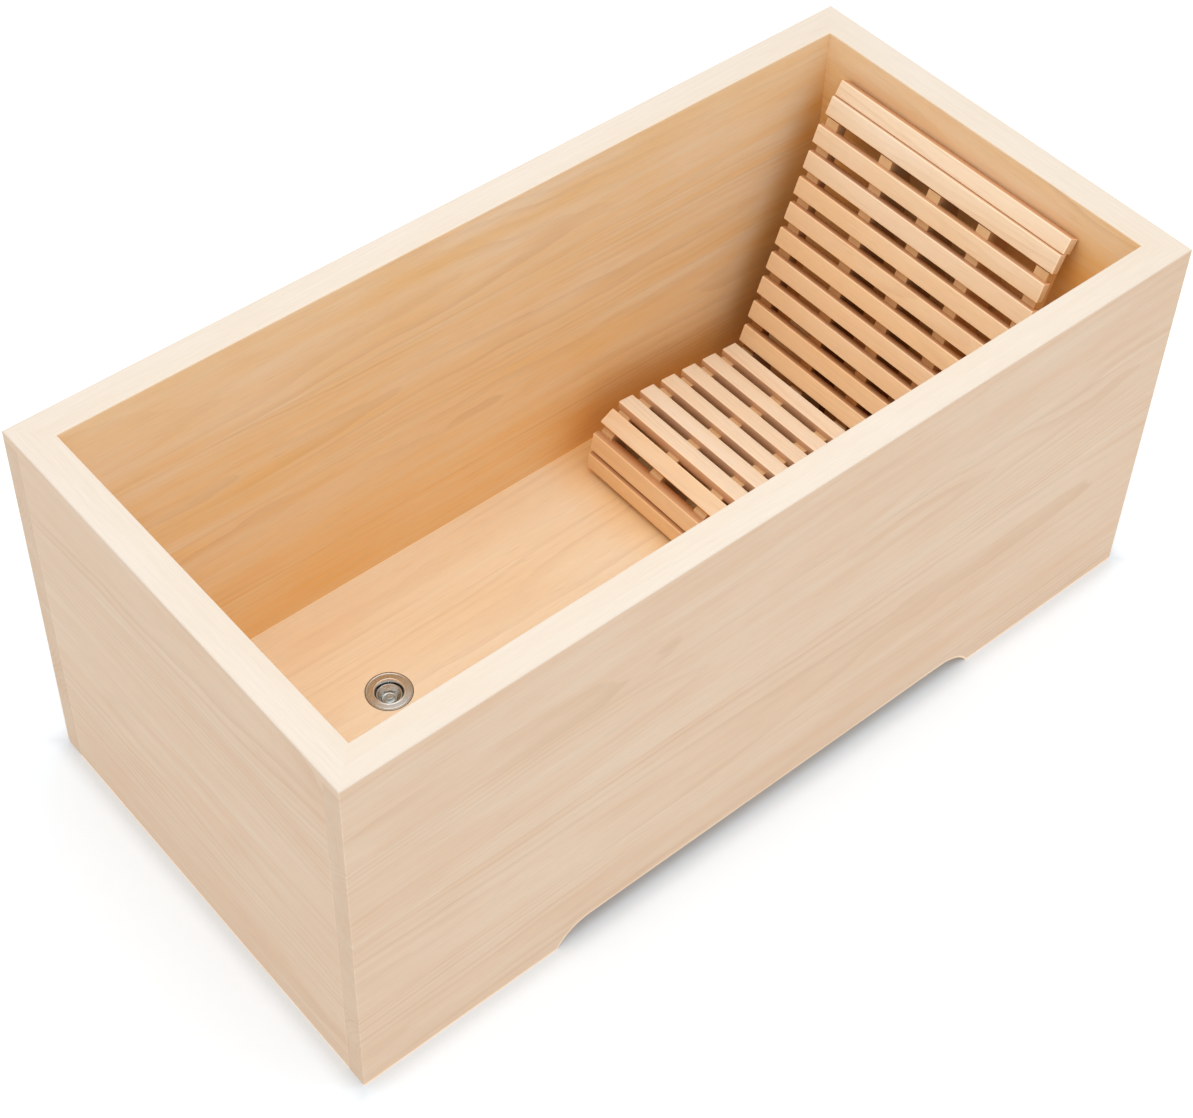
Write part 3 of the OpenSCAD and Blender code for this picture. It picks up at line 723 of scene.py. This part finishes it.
class TUB_OT_walls(bpy.types.Operator):
    """Gives every wall board its own grain, a planed rim and warmer wood inside, with painted shade
    low in the tub and by the lounge and a painted highlight along the foot
    """

    bl_idname = "tub.walls"
    bl_label = "Wall boards"

    def execute(self, context):
        look = context.scene.tub_wood
        grain = context.scene.tub_grain
        ways = {"near": Y, "far": -Y, "foot": X, "head": -X}
        for number, (wall, inward) in enumerate(ways.items()):
            for course in range(COURSES):
                name = f"{wall}_wall_board_{course + 1}"
                low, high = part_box(name)
                low.z, high.z = course * COURSE_H, (course + 1) * COURSE_H
                plank = Plank(low, high, Z, inward)
                seed = 11.3 * number + 3.7 * course
                side = 1 if (number + course) % 2 else -1
                pith = (0.035 * math.sin(seed), side * (0.085 + 0.05 * (course % 2)))
                foot = above_arch if wall in ("near", "far") else above_ground
                lean = (0.030 * math.cos(seed * 1.7), 0.022 * math.sin(seed * 2.3))
                top = course == COURSES - 1
                material = wood(
                    name, plank, look.wall_pale, look.wall_deep, seed, grain.ring_gap * 1.3,
                    pith, lean, 0.85, (course > 0, not top), wall_tones(top), wear_and_highlight_strength=0.10,
                    wavy=1.0, foot=None if course else foot,
                )
                put_on(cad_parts[name], material)
        return {"FINISHED"}


class TUB_OT_floor(bpy.types.Operator):
    """Gives every floor board its own grain, a soft seam to its neighbour, and painted shade under
    the lounge
    """

    bl_idname = "tub.floor"
    bl_label = "Floor boards"

    def execute(self, context):
        look = context.scene.tub_wood
        grain = context.scene.tub_grain
        near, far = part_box("near_wall_board_1")[1].y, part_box("far_wall_board_1")[0].y
        pitch = (far - near) / FLOOR_BOARDS
        for board in range(FLOOR_BOARDS):
            name = f"floor_board_{board + 1}"
            low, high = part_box(name)
            low.y, high.y = near + board * pitch, near + (board + 1) * pitch
            plank = Plank(low, high, Y, Z)
            seed = 61.0 + 5.9 * board
            pith = (0.030 * math.sin(seed), -0.07 - 0.03 * (board % 2))
            lean = (0.010 * math.cos(seed), 0.008 * math.sin(seed * 1.9))
            # painted shade under and behind the lounge
            material = wood(
                name, plank, look.floor_pale, look.floor_deep, seed, grain.ring_gap, pith, lean,
                0.8, (board > 0, board < FLOOR_BOARDS - 1), painted_shade_tones(by_the_lounge, look.lounge_shade_tint),
            )
            put_on(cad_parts[name], material)
        return {"FINISHED"}


class TUB_OT_slats(bpy.types.Operator):
    """Models the lounge's slats with eased edges and ends, and gives each its own grain, painted
    shade on its sides and painted light and shade by its slope
    """

    bl_idname = "tub.slats"
    bl_label = "Slats"

    def execute(self, context):
        look = context.scene.tub_wood
        grain = context.scene.tub_grain
        shape = context.scene.tub_slats
        low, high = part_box("front_slat_1")
        run = high.y - low.y
        front = (high.z - low.z, high.x - low.x)
        # names, width and thickness, slope, how much the painted shade on the sides is lessened,
        # and the painted shade (above 0) or painted light (below 0) on each slat
        kinds = (
            (["front_slat_1"], front, math.pi / 2, 0.0, (0.6,)),
            (["front_slat_2"], front, shape.front_lean, 0.0, (0.25,)),
            (["nose_slat"], SEAT_SLAT, shape.nose_lean, 0.2, (0.0,)),
            (
                [f"seat_slat_{i}" for i in range(1, 7)], SEAT_SLAT, shape.seat_lean, 0.4,
                (-1.0, -1.1, -0.9, -1.0, -0.8, -0.9),
            ),
            (
                [f"back_slat_{i}" for i in range(1, 10)], BACK_SLAT, shape.back_lean, 0.0,
                (0.6, 0.6, 0.35, 0.25, 0.6, 0.3, 0.3, -0.2, -0.2),
            ),
            (["back_slat_10"], BACK_SLAT, shape.top_lean, 0.1, (-0.5,)),
            (["cap_slat"], CAP_SLAT, shape.cap_lean, 0.1, (-0.4,)),
        )
        number = 0
        for names, (width, thick), lean, less_side_shade, painted_shading in kinds:
            # painted shade on the sides, lessened on the plainer slats
            tones = zip(look.slat_side_shade, look.slat_deep)
            side = [shaded + less_side_shade * (plain - shaded) for shaded, plain in tones]
            across = X * math.cos(lean) + Z * math.sin(lean)
            through = X * -math.sin(lean) + Z * math.cos(lean)
            model = model_slat("slat_model", width, thick, run, shape.ease, shape.end_ease)
            for name, slat_shading in zip(names, painted_shading):
                low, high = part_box(name)
                piece = copy_slat(model, name + "_eased", (low + high) / 2, lean)
                plank = Plank(low, high, across, through)
                plank.half = [run / 2, width / 2, thick / 2]
                seed = 130.0 + 2.9 * number
                pith = (0.03 * math.sin(seed * 2.1), -0.035 - 0.02 * (number % 3))
                slope = (0.020 * math.cos(seed), 0.025 * math.sin(seed * 1.3))
                # painted light and shade: each slat is tinted darker or lighter by how much light
                # its slope catches
                pale, deep = (
                    [part * (1 - slat_shading * (1 - less)) for part, less in zip(tone, look.painted_shade_tint)]
                    for tone in (look.slat_pale, look.slat_deep)
                )
                material = wood(
                    name, plank, pale, deep, seed, grain.slat_ring_gap, pith, slope, 0.8,
                    side=side, wear_and_highlight_strength=0.34,
                )
                put_on(piece, material)
                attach(piece, "lounge")
                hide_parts(name)
                number += 1
            bpy.data.objects.remove(model)
        return {"FINISHED"}


class TUB_OT_ribs(bpy.types.Operator):
    """Gives the ribs under the slats their grain, along each rib, and paints shade at the foot of
    the back ribs
    """

    bl_idname = "tub.ribs"
    bl_label = "Ribs"

    def execute(self, context):
        look = context.scene.tub_wood
        grain = context.scene.tub_grain
        shape = context.scene.tub_slats
        ribs = [
            (name, lean)
            for part, lean in (("seat", shape.seat_lean), ("back", shape.back_lean))
            for name in (*(f"{part}_rib_{i}" for i in range(1, 4)), f"outer_{part}_ribs")
        ]
        for number, (name, lean) in enumerate(ribs):
            low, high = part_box(name)
            plank = Plank(low, high, Z * math.cos(lean) - X * math.sin(lean), Y)
            plank.half = [1.0, 1.0, 1.0]
            seed = 240.0 + 4.3 * number
            pith = (-0.10 - 0.02 * (number % 3), 0.04 * math.sin(seed))
            slope = (0.03 * math.cos(seed), 0.01)
            material = wood(
                name, plank, look.rib_pale, look.rib_deep, seed, grain.slat_ring_gap, pith, slope,
                0.9, extra=painted_shade_tones(lower_rib, look.rib_foot_shade) if "back" in name else None,
            )
            put_on(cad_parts[name], material)
        return {"FINISHED"}


class TUB_OT_joinery(bpy.types.Operator):
    """Finishes the dowels, the bearers under the floor and their screws"""

    bl_idname = "tub.joinery"
    bl_label = "Dowels, bearers and screws"

    def execute(self, context):
        look = context.scene.tub_wood
        grain = context.scene.tub_grain
        metal = context.scene.tub_metal
        looks = (
            ("corner_dowels", look.dowel_pale, look.dowel_deep, 0.0030, 301.0, Z, X),
            ("lounge_dowels", look.dowel_pale, look.dowel_deep, 0.0024, 311.0, X, Y),
            ("floor_bearers", look.rib_pale, look.rib_deep, grain.slat_ring_gap, 321.0, X, Z),
        )
        for name, pale, deep, gap, seed, across, through in looks:
            low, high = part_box(name)
            plank = Plank(low, high, across, through)
            material = wood(name, plank, pale, deep, seed, gap, (0.02, -0.11), (0.02, 0.01), 0.8)
            put_on(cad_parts[name], material)
        put_on(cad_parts["bearer_screws"], steel("bearer_screws", Vector(), metal.steel, 0.34))
        return {"FINISHED"}


class TUB_OT_waste(bpy.types.Operator):
    """Turns the waste's flange, bowl and tail, and finishes its nut, seal and washer"""

    bl_idname = "tub.waste"
    bl_label = "Waste"

    def execute(self, context):
        metal = context.scene.tub_metal
        low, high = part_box("waste_body")
        middle = Vector(((low.x + high.x) / 2, (low.y + high.y) / 2, 0))
        rim = high.z
        body = turned("waste_dish", middle, [
            # the tail and the neck
            (0.0165, 0.0050), (0.0190, 0.0050), (0.0190, 0.0260), (0.0240, 0.0260),
            (0.0240, 0.0575),
            # the flange with its groove, and the sloped collar
            (0.0370, 0.0575), (0.0370, 0.0597), (0.0362, 0.0605), (0.0345, 0.0605),
            (0.0341, 0.0601), (0.0333, 0.0601), (0.0329, 0.0605), (0.0256, 0.0605),
            (0.0248, rim), (0.0238, rim),
            # the bowl that the plug sits in, down to the bore
            (0.0222, rim - 0.0024), (0.0222, 0.0467), (0.0180, 0.0467), (0.0180, 0.0397),
            (0.0165, 0.0397),
        ])
        # a painted highlight on the collar's lip, and painted shade round the flange's edge
        put_on(body, steel("waste_dish", middle, metal.steel, 0.27, (0.0210, 0.0246), 0.0370))
        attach(body, "tub")
        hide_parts("waste_body")
        put_on(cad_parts["waste_locknut"], steel("waste_locknut", middle, metal.steel, 0.36))
        for name in ("waste_seal", "waste_washer"):
            put_on(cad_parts[name], rubber(name, metal.rubber))
        return {"FINISHED"}


class TUB_OT_plug(bpy.types.Operator):
    """Turns the plug's dished cup and its knob, and finishes its rubber ring"""

    bl_idname = "tub.plug"
    bl_label = "Plug"

    def execute(self, context):
        metal = context.scene.tub_metal
        low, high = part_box("plug_cup")
        middle = Vector(((low.x + high.x) / 2, (low.y + high.y) / 2, 0))
        base, top = low.z, high.z
        cup = turned("plug_dish", middle, [
            (0.0025, base), (0.0175, base), (0.0175, base + 0.009), (0.0200, base + 0.009),
            (0.0200, top - 0.0005), (0.0195, top), (0.0187, top), (0.0182, top - 0.0007),
            (0.0115, base + 0.0024), (0.0105, base + 0.0020), (0.0025, base + 0.0020),
        ])
        foot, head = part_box("plug_knob")
        foot, head = foot.z + 0.002, head.z
        knob = turned("plug_grip", middle, [
            (0.0001, foot - 0.002), (0.0025, foot - 0.002), (0.0025, foot), (0.0092, foot),
            (0.0092, foot + 0.0008), (0.0086, foot + 0.0012), (0.0054, foot + 0.0016),
            (0.0046, foot + 0.0024), (0.0046, head - 0.0028), (0.0052, head - 0.0022),
            (0.0061, head - 0.0019), (0.0063, head - 0.0013), (0.0061, head - 0.0006),
            (0.0055, head - 0.0001), (0.0048, head), (0.0001, head),
        ], 64)
        put_on(cup, steel("plug_dish", middle, metal.steel, 0.25))
        put_on(knob, steel("plug_grip", middle, metal.knob, 0.38))
        put_on(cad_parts["plug_ring"], rubber("plug_ring", metal.rubber))
        turnings = ((cup, "plug_cup", "stainless"), (knob, "plug_knob", "knob_steel"))
        for piece, node, finish in turnings:
            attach(piece, "plug")
            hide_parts(node)
        return {"FINISHED"}


class TUB_OT_studio(bpy.types.Operator):
    """Adds the pale floor, the soft light and the camera"""

    bl_idname = "tub.studio"
    bl_label = "Studio"

    def execute(self, context):
        studio = context.scene.tub_studio
        self.add_floor(context, studio)
        self.add_light(context, studio)
        self.add_camera(context, studio)
        context.scene.view_settings.view_transform = "Standard"
        return {"FINISHED"}

    def add_floor(self, context, studio):
        """A pale floor that looks white to the camera, save in the tub's shadow, which its colour
        and glow paint darker close to the tub.
        """
        drop_selection()
        bpy.ops.mesh.primitive_grid_add(x_subdivisions=8, y_subdivisions=8, size=STUDIO_SIDE)
        ground = context.object
        ground.name = "studio_floor"
        f = Finish("studio_floor")
        x, y, _ = f.split(f.node("ShaderNodeTexCoord", output="Object"))
        mottle = f.noise(x * 3.0, y * 3.0, 0.0, 3.0)
        seen = f.node("ShaderNodeLightPath", output="Is Camera Ray")
        gap_x = x.maths("ABSOLUTE") - CAD_BOX[1].x
        gap_y = y.maths("ABSOLUTE") - CAD_BOX[1].y
        gap = gap_x.maths("MAXIMUM", gap_y)
        # painted shadow: within 0.1 m of the tub the camera sees the floor darker and bluer, and
        # white from 0.8 m out
        shadowed_seen = f.blend(gap.span(0.1, 0.8), studio.floor_shadow_tint, (1.0, 1.0, 1.0))
        painted = f.blend(seen, studio.floor, shadowed_seen)
        # the glow fades out at the tub's edge, which paints its contact shadow darker
        glow = f.shade(f.join(seen, seen, seen), gap.span(-0.012, 0.035) * studio.glow)
        put_on(ground, f.surface(
            {"Specular IOR Level": 0.2, "Emission Strength": 1.0},
            {
                "Base Color": f.shade(painted, 0.995 + (mottle - 0.5) * 0.01),
                "Roughness": 0.7 + (mottle - 0.5) * 0.1,
                "Emission Color": glow,
            },
        ))

    def add_light(self, context, studio):
        """Even light from all round, white to the camera and in mirrors, and one overhead lamp."""
        world = bpy.data.worlds.new("studio")
        context.scene.world = world
        f = Finish(world)
        camera_ray = f.node("ShaderNodeLightPath", output="Is Camera Ray")
        rays = camera_ray.socket.node.outputs
        glossy, passed = Tone(f, rays["Is Glossy Ray"]), Tone(f, rays["Is Transmission Ray"])
        white = camera_ray.maths("MAXIMUM", glossy.maths("MAXIMUM", passed))
        strength = studio.sky + white * (1.0 - studio.sky)
        sky = f.node("ShaderNodeBackground", {}, {"Strength": strength})
        f.node("ShaderNodeOutputWorld", {}, {"Surface": sky})

        bpy.ops.object.light_add(type="AREA", location=LAMP_AT)
        lamp = context.object
        lamp.name = "overhead_lamp"
        lamp.data.shape = "RECTANGLE"
        lamp.data.size, lamp.data.size_y = LAMP_SIDES
        lamp.data.energy = studio.key
        way = Vector(LAMP_AIM) - lamp.location
        lamp.rotation_euler = way.to_track_quat("-Z", "Y").to_euler()

    def add_camera(self, context, studio):
        """The camera that took the photograph, as near as one camera comes to it."""
        rise, turn, roll = studio.rise, studio.turn, studio.roll
        level = math.cos(rise)
        back_axis = Vector((math.sin(turn) * level, -math.cos(turn) * level, math.sin(rise)))
        right = Vector((math.cos(turn), math.sin(turn), 0))
        up = back_axis.cross(right)
        right, up = (
            right * math.cos(roll) + up * math.sin(roll),
            up * math.cos(roll) - right * math.sin(roll),
        )
        bpy.ops.object.camera_add(location=Vector(studio.aim) + back_axis * studio.distance)
        camera = context.object
        camera.name = "photo_camera"
        camera.rotation_euler = Matrix((right, up, back_axis)).transposed().to_euler()
        camera.data.lens = studio.lens
        camera.data.sensor_width = FILM_WIDTH
        camera.data.shift_y = studio.shift
        context.scene.camera = camera


class TUB_PT_panel(bpy.types.Panel):
    """Lists the tub's pieces and its studio"""

    bl_idname = "TUB_PT_panel"
    bl_label = "Soaking tub"
    bl_space_type = "VIEW_3D"
    bl_region_type = "UI"
    bl_category = "Tub"

    def draw(self, context):
        for operator in OPERATORS:
            self.layout.operator(operator.bl_idname)
        for name in SETTINGS:
            box = self.layout.box()
            group = getattr(context.scene, name)
            for key in group.__annotations__:
                box.prop(group, key)


OPERATORS = (
    TUB_OT_walls,
    TUB_OT_floor,
    TUB_OT_slats,
    TUB_OT_ribs,
    TUB_OT_joinery,
    TUB_OT_waste,
    TUB_OT_plug,
    TUB_OT_studio,
)
SETTINGS = {
    "tub_wood": TubWood,
    "tub_grain": TubGrain,
    "tub_slats": TubSlats,
    "tub_metal": TubMetal,
    "tub_studio": TubStudio,
}


def register():
    for kind in (*SETTINGS.values(), *OPERATORS, TUB_PT_panel):
        bpy.utils.register_class(kind)
    for name, kind in SETTINGS.items():
        setattr(bpy.types.Scene, name, bpy.props.PointerProperty(type=kind))


def unregister():
    for name in SETTINGS:
        delattr(bpy.types.Scene, name)
    for kind in reversed((*SETTINGS.values(), *OPERATORS, TUB_PT_panel)):
        bpy.utils.unregister_class(kind)


def main():
    register()
    bpy.ops.tub.walls()
    bpy.ops.tub.floor()
    bpy.ops.tub.slats()
    bpy.ops.tub.ribs()
    bpy.ops.tub.joinery()
    bpy.ops.tub.waste()
    bpy.ops.tub.plug()
    bpy.ops.tub.studio()


if __name__ == "__main__":
    main()
